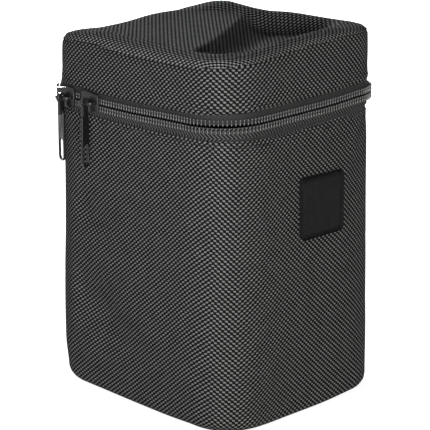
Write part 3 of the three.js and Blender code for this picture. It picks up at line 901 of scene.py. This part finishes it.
# Body


def edge_tuck(s, start, end, width=1.6, depth=0.9):
    """How far cloth turns in next to the seams at its two ends."""
    nearest = np.minimum(s - start, end - s)
    return depth * np.clip(1 - nearest / width, 0, 1) ** 2


def body_swell(s, height):
    """How the padded wall stands in and out: a little full, with the soft dents of the left side."""
    share = np.clip((s - LEFT_START) / (RIGHT_START - LEFT_START), 0, 1)
    left_end = np.interp(height, *zip(*LEFT_STAND))
    right_end = np.interp(height, *zip(*RIGHT_STAND))
    full = left_end * (1 - share) + right_end * share
    corner = along(s, RIGHT_ROUND, 3) * np.interp(height, *zip(*ROUND_FADE))
    dents = 0
    for depth, middle, wide, level, slope, slope_start, tall in DENTS:
        dents += depth * hump(s, middle, wide) * hump(height, level - slope * (s - slope_start), tall)
    inside = np.clip((s - DENT_START) / DENT_EASE, 0, 1)
    waves = WAVE_DEPTH * np.sin(s / WAVE_ALONG) * np.sin(height / WAVE_UP + s / WAVE_SLANT)
    return full + corner - inside * dents + waves


def up_from_base(s, share, top):
    """Distance out, height and length of cloth from under the base, round its edge and up to the top."""
    bend = along(s, BASE_BEND_LINE)
    flat = BASE_ROUND - bend
    turn = bend * math.pi / 2
    length = share * (flat + turn + top - bend)
    angle = np.clip((length - flat) / bend, 0, math.pi / 2)
    out = bend * (np.sin(angle) - 1) - np.clip(flat - length, 0, None)
    height = bend * (1 - np.cos(angle)) + np.clip(length - flat - turn, 0, None)
    return out, height, length


def edge_lift(away, lift=0.9, reach=6, turn=0.7, turn_reach=1.2):
    """How far cloth stands out at its edge by the zip, where it lies over the tape and is turned in."""
    return lift * np.clip(1 - away / reach, 0, 1) - turn * np.clip(1 - away / turn_reach, 0, 1) ** 2


def body_profile(s, share):
    """The body's outer cloth, from under the base up to its edge at the zip."""
    top = along(s, BODY_EDGE_LINE)
    out, height, length = up_from_base(s, share, top)
    swell = body_swell(s, height) + edge_lift(top - height)
    return out + swell - edge_tuck(s, LEFT_SEAM, RIGHT_SEAM), height, length


def make_body():
    piece = wall_cloth("body_cover", LEFT_SEAM + SEAM_GAP, RIGHT_SEAM - SEAM_GAP, CELL, 68, body_profile)
    pad(piece, BODY_PAD, BODY_SWELL, foot=2 * BASE_ROUND)
    smooth(piece)
    dress(piece, NYLON, "pouch", "ballistic_nylon", "body_wrap", "wall_foam")


def make_base():
    def level(s, ring):
        return BASE_PAD + GAP - GAP * ring ** 8

    piece = panel_cloth("base_cover", 40, -BASE_ROUND - GAP, level)
    thicken(piece, BASE_PAD)
    smooth(piece)
    dress(piece, NYLON, "pouch", "ballistic_nylon", "base_panel", "base_board", "base_foam")


def back_profile(s, share):
    """The back's outer cloth, from under the base past the fold up to the lid's top seam."""
    out, height, length = up_from_base(s, share, along(s, SEAM_LINE))
    fold = FOLD_DEPTH * hump(height, ZIP_HEIGHT, FOLD_HALF)
    place_on = (s + PERIMETER / 2) % PERIMETER - PERIMETER / 2
    return out - fold - edge_tuck(place_on, -LEFT_SEAM, LEFT_SEAM), height, length


def make_back():
    piece = wall_cloth("back_panel", -LEFT_SEAM + SEAM_GAP, LEFT_SEAM - SEAM_GAP, 2.4, 160, back_profile)
    thicken(piece, CLOTH)
    smooth(piece)
    dress(piece, NYLON, None, "ballistic_nylon", "body_back_panel", "lid_back_panel")
    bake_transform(piece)


def make_back_pads():
    for name, body, low, high, node in (
        ("back_pad", "pouch", LINING_FOOT, FOAM_TOP, "back_foam"),
        ("lid_back_pad", "lid", LID_FOAM_LOW, LID_FOAM_TOP, "lid_back_foam"),
    ):
        rows = round((high - low) / 4)
        half = LEFT_SEAM - FOAM_INSET
        piece = wall_cloth(name, -half, half, 4, rows, straight_up(FOAM_OUT, low, high))
        thicken(piece, FOAM)
        smooth(piece)
        dress(piece, LINING_CLOTH, body, "foam", node)


def finish_lining(piece, body, node):
    thicken(piece, LINING)
    smooth(piece)
    dress(piece, LINING_CLOTH, body, "lining", node)


def make_linings():
    for name, body, low, high, node in (
        ("body_lining", "pouch", LINING_FOOT, LINING_TOP, "wall_lining"),
        ("lid_lining_band", "lid", LID_LINING_LOW, LID_LINING_TOP, "lid_lining"),
    ):
        rows = round((high - low) / 3)
        piece = wall_cloth(name, 0, PERIMETER, 2.8, rows, straight_up(LINING_OUT, low, high))
        close_ring(piece)
        finish_lining(piece, body, node)


def make_floor_lining():
    def level(s, ring):
        return FLOOR_TOP + FLOOR_LIFT * np.clip((ring - FLOOR_EDGE) / (1 - FLOOR_EDGE), 0, 1)

    piece = panel_cloth("floor_cloth", 36, FLOOR_OUT, level)
    finish_lining(piece, "pouch", "floor_lining")


def make_bindings():
    """Tape over the padded edges of the body's mouth and the lid's mouth."""
    inside = LINING_OUT - LINING - GAP - BINDING
    over = FOAM_OUT - inside
    for name, body, edge, away, node in (
        ("body_binding", "pouch", MOUTH, -1, "mouth_binding"),
        ("lid_edge_binding", "lid", LID_MOUTH, 1, "lid_binding"),
    ):
        def profile(s, share, edge=edge, away=away):
            length = share * (over + BINDING_LEG)
            out = np.maximum(FOAM_OUT - length, inside)
            return out, edge + away * np.maximum(length - over, 0), length

        piece = wall_cloth(name, 0, PERIMETER, 2.6, 12, profile)
        close_ring(piece)
        if away > 0:
            edit_all(piece, bpy.ops.mesh.flip_normals)
        thicken(piece, BINDING)
        smooth(piece, 60)
        dress(piece, BINDING_CLOTH, body, "woven_tape", node)


# Zip


def chain(s):
    """Height of the zip's middle."""
    return along(s, CHAIN_LINE)


def zip_out(s):
    """How far the zip stands out of the plain outline."""
    return along(s, ZIP_STAND)


def make_tape(side, half, body, cloth, fall):
    """One half of the zip's tape, from under the cloth's edge out to the coil."""
    def profile(s, share):
        away = TAPE_START + TAPE_WIDE * (share if side > 0 else 1 - share)
        return np.interp(away, *zip(*fall)) + zip_out(s), chain(s) + side * away, away

    start, end = LEFT_SEAM + TAPE_INSET, RIGHT_SEAM - TAPE_INSET
    piece = wall_cloth(half + "_tape", start, end, CELL, 14, profile)
    thicken(piece, TAPE)
    smooth(piece)
    dress(piece, cloth, body, "woven_tape", "zip_tape_" + half)


def make_coil(side, half, body):
    """One half of the coil: a turn is modelled once, repeated along the zip and wrapped round the pouch."""
    piece = add_bead(half + "_coil", 8, 8)
    x, y, z = points(piece).T
    lobes = np.sqrt(np.clip(1 - ((np.abs(z) - LOBE_MIDDLE) / LOBE_HALF) ** 2, LOBE_LEAST, 1))
    waist = lobes / np.maximum(np.hypot(x, y), 0.05)
    wide = (CHAIN_HALF - CHAIN_SPLIT / 2) / 2
    middle = (CHAIN_HALF + CHAIN_SPLIT / 2) / 2
    rise = (COIL_HIGH - COIL_LOW) / 2
    start = LEFT_SEAM + COIL_INSET + (0 if side > 0 else COIL_PITCH / 2)
    turn = (start + x * TURN_HALF * waist, COIL_LOW + rise + y * rise * waist, side * (middle + z * wide))
    place(piece, np.stack(turn, axis=1))
    repeat(piece, int((RIGHT_SEAM - LEFT_SEAM - 2 * COIL_INSET) / COIL_PITCH) + 1, COIL_PITCH)
    wrap(piece, chain, zip_out)
    smooth(piece, 180)
    dress(piece, COIL_NYLON, body, "zip_coil", "zip_coil_" + half)


# Sliders and pulls


def on_left(piece, y):
    """Sets a piece that was made with X along the zip, Y up and Z outward on the left wall."""
    x, up, out = points(piece).T
    place(piece, np.stack((-HALF_WIDTH * MM - out, y * MM - x, ZIP_HEIGHT * MM + up), axis=1))


def make_slider(name, y, nose, body):
    """A slider's two plates and the post between them, as one casting."""
    shield = [(SLIDER_HALF * x, SLIDER_WIDE * z) for x, z in SHIELD]
    shield += [(x, -z) for x, z in reversed(shield)]
    under = [(UNDER_LONG * x, UNDER_WIDE * z) for x, z in shield]
    post = circle(POST_ALONG, POST_RADIUS, 8)
    parts = []
    for label, outline, thick, level, edge in (
        ("top", shield, PLATE, PLATE_OUT, PLATE_EDGE),
        ("under", under, PLATE, UNDER_OUT, PLATE_EDGE),
        ("post", post, POST, POST_OUT, POST_EDGE),
    ):
        part = cut_plate(f"{name}_{label}", [[(nose * x, z) for x, z in outline]], thick, edge)
        place(part, points(part) + np.array((0, 0, level * MM)))
        parts.append(part)
    piece = join(parts)
    piece.name = name
    on_left(piece, y)
    smooth(piece)
    dress(piece, METAL, body, "dark_metal", body + "_body")


def make_crown(name, y, body):
    """The bridge over a slider that carries its pull."""
    outer = arch(CROWN_HALF, CROWN_FOOT, CROWN_TOP, CROWN_ROUND, 5)
    inner = arch(OPENING_HALF, CROWN_FOOT, OPENING_TOP, OPENING_ROUND, 4)
    piece = cut_plate(name, [outer + inner[::-1]], CROWN_WIDE, CROWN_EDGE)
    x, out, up = points(piece).T
    place(piece, np.stack((x, up, out), axis=1))
    edit_all(piece, bpy.ops.mesh.normals_make_consistent, inside=False)
    on_left(piece, y)
    smooth(piece)
    dress(piece, METAL, body, "dark_metal", body + "_crown")


def make_pull(name, y, body, turn):
    """A hanging pull: an eye and neck on the bridge, and a slotted tab that is turned about its length."""
    eye = arc(0, 0, EYE_RADIUS, -NECK_ANGLE, 180 + NECK_ANGLE, 22)
    eye += [(-NECK_HALF, NECK_LOW), (NECK_HALF, NECK_LOW)]
    head = cut_plate(name, [eye, circle(0, EYE_HOLE, 24)], EYE_THICK, EYE_EDGE)
    outlines = [stadium(TAB_HALF, TAB_LOW, TAB_TOP), stadium(SLOT_HALF, SLOT_LOW, SLOT_TOP)]
    tab = cut_plate(name + "_tab", outlines, TAB_THICK, TAB_EDGE)
    across, up, thick = points(tab).T
    cos, sin = math.cos(math.radians(turn)), math.sin(math.radians(turn))
    place(tab, np.stack((across * cos - thick * sin, up, across * sin + thick * cos), axis=1))
    piece = join([head, tab])
    out, up, thick = points(piece).T
    axis = (HALF_WIDTH + PULL_AXIS) * MM
    place(piece, np.stack((-axis - out, y * MM - thick, ZIP_HEIGHT * MM + up), axis=1))
    smooth(piece)
    dress(piece, METAL, body, "dark_metal", body)


# Patch and belt loop


def make_patch():
    """A leather patch with a pressed line inside its edge."""
    piece = add("leather_patch", bpy.ops.mesh.primitive_cube_add, size=1)
    place(piece, points(piece) * np.array((PATCH_WIDE, PATCH_THICK, PATCH_TALL)) * MM)
    bpy.ops.object.mode_set(mode="EDIT")
    bpy.ops.mesh.select_all(action="DESELECT")
    bpy.ops.object.mode_set(mode="OBJECT")
    for edge in piece.data.edges:
        a, b = (piece.data.vertices[i].co for i in edge.vertices)
        edge.select = abs(a.y - b.y) > PATCH_THICK / 2 * MM
    bpy.ops.object.mode_set(mode="EDIT")
    bpy.ops.mesh.select_mode(type="EDGE")
    bpy.ops.mesh.bevel(offset=PATCH_ROUND * MM, segments=6)
    bpy.ops.mesh.select_mode(type="FACE")
    bpy.ops.mesh.select_all(action="DESELECT")
    bpy.ops.object.mode_set(mode="OBJECT")
    for face in piece.data.polygons:
        face.select = face.normal.y < -0.9
    bpy.ops.object.mode_set(mode="EDIT")
    for width, depth in PRESSED_LINE:
        bpy.ops.mesh.inset(thickness=width * MM, depth=depth * MM)
    bpy.ops.object.mode_set(mode="OBJECT")
    middle = -(HALF_DEPTH + GAP + PATCH_THICK / 2)
    place(piece, points(piece) + np.array((PATCH_X, middle, PATCH_Z)) * MM)
    smooth(piece, 30)
    dress(piece, LEATHER, "pouch", "leather", "front_patch")


def make_belt_loop():
    """A webbing strap that stands off the back between its two sewn ends."""
    half = LOOP_CLEAR / 2
    ends = half + LOOP_RAMP + LOOP_SEWN
    piece, share = cut_cloth("belt_strap", 24, 90)
    z = (share[:, 1] - 0.5) * 2 * ends
    lift = np.clip((half + LOOP_RAMP - np.abs(z)) / LOOP_RAMP, 0, 1)
    out = GAP + WEBBING + LOOP_GAP * ease(lift)
    x = (0.5 - share[:, 0]) * LOOP_WIDTH
    place(piece, np.stack((x, HALF_DEPTH + out, LOOP_Z + z), axis=1) * MM)
    set_grain(piece, np.stack((x, z), axis=1) * MM)
    thicken(piece, WEBBING)
    smooth(piece)
    dress(piece, STRAP_CLOTH, "pouch", "woven_tape", "belt_loop")


def make_bartacks():
    """Bars of slanting stitches over the strap's ends."""
    out = HALF_DEPTH + 2 * GAP + WEBBING + BARTACK_LIFT
    away = LOOP_CLEAR / 2 + LOOP_RAMP + LOOP_SEWN / 2
    for name, side in (("bartack_top", 1), ("bartack_bottom", -1)):
        piece = add_bead(name + "_stitches", 6, 5)
        x, y, z = points(piece).T
        along_bar = BARTACK_START + x * BARTACK_WIDE + z * BARTACK_SLANT
        place(piece, np.stack((along_bar, y * BARTACK_THICK, z * BARTACK_HALF), axis=1))
        repeat(piece, BARTACK_COUNT, BARTACK_PITCH)
        place(piece, (points(piece) + np.array((0, out, LOOP_Z + side * away))) * MM)
        smooth(piece, 180)
        dress(piece, THREAD, "pouch", "woven_tape", name)


# Lid


def lid_profile(s, share):
    """The lid's outer cloth, from its edge at the zip up to the top seam."""
    low = along(s, LID_EDGE_LINE)
    top = along(s, SEAM_LINE)
    height = low + share * (top - low)
    hem = along(s, HEM_LINE) * edge_lift(height - low)
    full = along(s, LID_STAND) + LID_FULL * np.sin(np.pi * share)
    seam = SEAM_TUCK * np.clip(1 - (top - height) / SEAM_REACH, 0, 1) ** 2
    return full + hem - seam - edge_tuck(s, LEFT_SEAM, RIGHT_SEAM), height, height


def make_lid_wall():
    piece = wall_cloth("lid_wall", LEFT_SEAM + SEAM_GAP, RIGHT_SEAM - SEAM_GAP, CELL, 16, lid_profile)
    pad(piece, LID_PAD, LID_SWELL)
    smooth(piece)
    dress(piece, NYLON, "lid", "ballistic_nylon", "lid_wrap", "lid_wall_foam")


def dish_floor(x, y):
    """The cloth inside the rim: a soft shelf at the back left, which drops into a trough in front of it."""
    turn = math.radians(SHELF_TURN)
    shelf = SHELF_HEIGHT + SHELF_TILT * x + SHELF_CURVE * (x * x + y * y)
    x, y = x - SHELF_EDGE[0], y - SHELF_EDGE[1]
    past = np.clip(math.sin(turn) * x - math.cos(turn) * y, 0, None)
    run = np.clip((math.cos(turn) * x + math.sin(turn) * y) / TROUGH_RUN, 0, 1)
    short = np.clip(1 - past / TROUGH_REACH, 0, 1)
    fall = TROUGH_DEPTH * (1 - TROUGH_FADE * run * run) * (1 - short * short)
    return shelf - fall + TROUGH_SLOPE * np.clip(past - TROUGH_REACH, 0, None)


def top_level(s, ring):
    """Height of the lid's top: from the seam over the rim's crest and down into the dish."""
    seam = along(s, SEAM_LINE)
    crest = along(s, CREST_LINE)
    inner = np.clip((ring / CREST_SHARE - RIM_START) / (1 - RIM_START), 0, 1)
    x, y, _ = (on_wall(s, 0, 0) * ring[:, None] / MM).T
    floor = np.minimum(dish_floor(x, y), crest)
    dish = floor + (crest - floor) * ease(inner)
    outer = np.clip((1 - ring) / (1 - CREST_SHARE), 0, 1)
    rim = seam + (crest - seam) * np.sqrt(np.clip(1 - (1 - outer) ** 2, 0, 1))
    return np.where(ring < CREST_SHARE, dish, rim)


def make_lid_top():
    piece = panel_cloth("lid_top", 84, lambda s: along(s, LID_STAND) - GAP, top_level, turned=True)
    pad(piece, TOP_PAD, TOP_SWELL)
    smooth(piece, 60)
    dress(piece, LID_TOP_NYLON_PAINTED_LIGHTER, "lid", "ballistic_nylon", "lid_top_panel", "lid_top_foam")


def make_lid_top_lining():
    def level(s, ring):
        return CEILING_LOW + CEILING_RISE * ring ** 2

    piece = panel_cloth("lid_ceiling", 40, CEILING_OUT, level)
    finish_lining(piece, "lid", "lid_top_lining")


def body_stitch_height(s):
    return along(s, BODY_EDGE_LINE) - STITCH_INSET


def body_stitch_out(s):
    return body_swell(s, body_stitch_height(s)) + edge_lift(STITCH_INSET)


def lid_stitch_height(s):
    return along(s, LID_EDGE_LINE) + STITCH_INSET


def lid_stitch_out(s):
    return along(s, LID_STAND) + along(s, HEM_LINE) * edge_lift(STITCH_INSET) + STITCH_LIFT


def make_stitches(name, body, height, out):
    """A row of stitches that holds the cloth's edge to the zip tape."""
    piece = add_bead(name, 6, 5)
    x, y, z = points(piece).T
    start = LEFT_SEAM + STITCH_START
    place(piece, np.stack((start + z * STITCH_HALF, y * STITCH_THICK, x * STITCH_THICK), axis=1))
    repeat(piece, int((RIGHT_SEAM - LEFT_SEAM - STITCH_ENDS) / STITCH_PITCH), STITCH_PITCH)
    wrap(piece, height, out)
    smooth(piece, 180)
    dress(piece, THREAD, body, "woven_tape")


# Camera, floor and light


def aim(thing, target, turn, rise, reach):
    """Puts a camera or lamp in the scene, round and up from its target by these degrees, looking at it."""
    turn, rise = math.radians(turn), math.radians(rise)
    flat = math.cos(rise)
    away = Vector((math.sin(turn) * flat, -math.cos(turn) * flat, math.sin(rise)))
    thing.location = Vector(target) + reach * away
    thing.rotation_euler = away.to_track_quat("Z", "Y").to_euler()
    bpy.context.scene.collection.objects.link(thing)


def make_camera():
    data = bpy.data.cameras.new("camera")
    data.lens = CAMERA_LENS
    data.sensor_width = CAMERA_SENSOR
    camera = bpy.data.objects.new("camera", data)
    aim(camera, CAMERA_TARGET, CAMERA_TURN, CAMERA_RISE, CAMERA_REACH)
    bpy.context.scene.camera = camera


def shown_directly(tree):
    """1 where the surround is seen by the camera, in a shiny surface or through a clear one, or else 0."""
    seen = tree.nodes.new("ShaderNodeLightPath").outputs
    through = calc(tree, "MAXIMUM", seen["Is Glossy Ray"], seen["Is Transmission Ray"])
    return calc(tree, "MAXIMUM", seen["Is Camera Ray"], through)


def make_floor():
    """A pale floor that keeps the pouch's soft shadow."""
    floor = add("floor", bpy.ops.mesh.primitive_plane_add, size=STAGE_WIDE)
    made = bpy.data.materials.new("pale_floor")
    made.use_nodes = True
    tree = made.node_tree
    shader = tree.nodes["Principled BSDF"]
    shader.inputs["Base Color"].default_value = grey(STAGE_GREY)
    shader.inputs["Roughness"].default_value = 0.9
    shader.inputs["Emission Color"].default_value = (1, 1, 1, 1)
    glow = calc(tree, "MULTIPLY", shown_directly(tree), STAGE_GLOW)
    tree.links.new(glow, shader.inputs["Emission Strength"])
    floor.data.materials.append(made)


def make_light(name, turn, rise, reach, size, power, colour):
    """A soft square lamp, aimed at the middle of the pouch."""
    data = bpy.data.lights.new(name, "AREA")
    data.color = colour
    data.size = size
    data.energy = power
    aim(bpy.data.objects.new(name, data), LAMP_TARGET, turn, rise, reach)


def make_world():
    """A white surround to be seen, and a dim even light on the pouch."""
    world = bpy.data.worlds.new("studio")
    bpy.context.scene.world = world
    world.use_nodes = True
    tree = world.node_tree
    shader = tree.nodes["Background"]
    strength = rescale(tree, shown_directly(tree), 0.0, 1.0, EVEN_LIGHT, 1.0)
    tree.links.new(strength, shader.inputs["Strength"])
    shader.inputs["Color"].default_value = (1, 1, 1, 1)


make_camera()
make_floor()
make_world()
make_light("left_lamp", turn=-66, rise=18, reach=0.3, size=0.12, power=0.27, colour=(0.94, 0.96, 1.0))
make_light("front_lamp", turn=-40, rise=5, reach=1.5, size=0.4, power=22.5, colour=(1.0, 0.98, 0.95))
make_light("back_lamp", turn=149, rise=18.5, reach=1.5, size=0.3, power=44, colour=(0.97, 0.98, 1.0))

make_body()
make_base()
make_back()
make_back_pads()
make_linings()
make_floor_lining()
make_bindings()
make_tape(1, "upper", "lid", UPPER_TAPE, UPPER_TAPE_FALL)
make_tape(-1, "lower", "pouch", LOWER_TAPE, LOWER_TAPE_FALL)
make_coil(1, "upper", "lid")
make_coil(-1, "lower", "pouch")
make_slider("side_slider", SIDE_SLIDER_Y, -1, "slider_side")
make_slider("corner_slider", CORNER_SLIDER_Y, 1, "slider_corner")
make_crown("side_crown", SIDE_SLIDER_Y, "slider_side")
make_crown("corner_crown", CORNER_SLIDER_Y, "slider_corner")
make_pull("side_pull", SIDE_SLIDER_Y, "pull_side", SIDE_TAB_TURN)
make_pull("corner_pull", CORNER_SLIDER_Y, "pull_corner", CORNER_TAB_TURN)
make_patch()
make_belt_loop()
make_bartacks()
make_lid_wall()
make_lid_top()
make_lid_top_lining()
make_stitches("body_edge_stitches", "pouch", body_stitch_height, body_stitch_out)
make_stitches("lid_edge_stitches", "lid", lid_stitch_height, lid_stitch_out)

bpy.context.scene.view_settings.view_transform = "Standard"
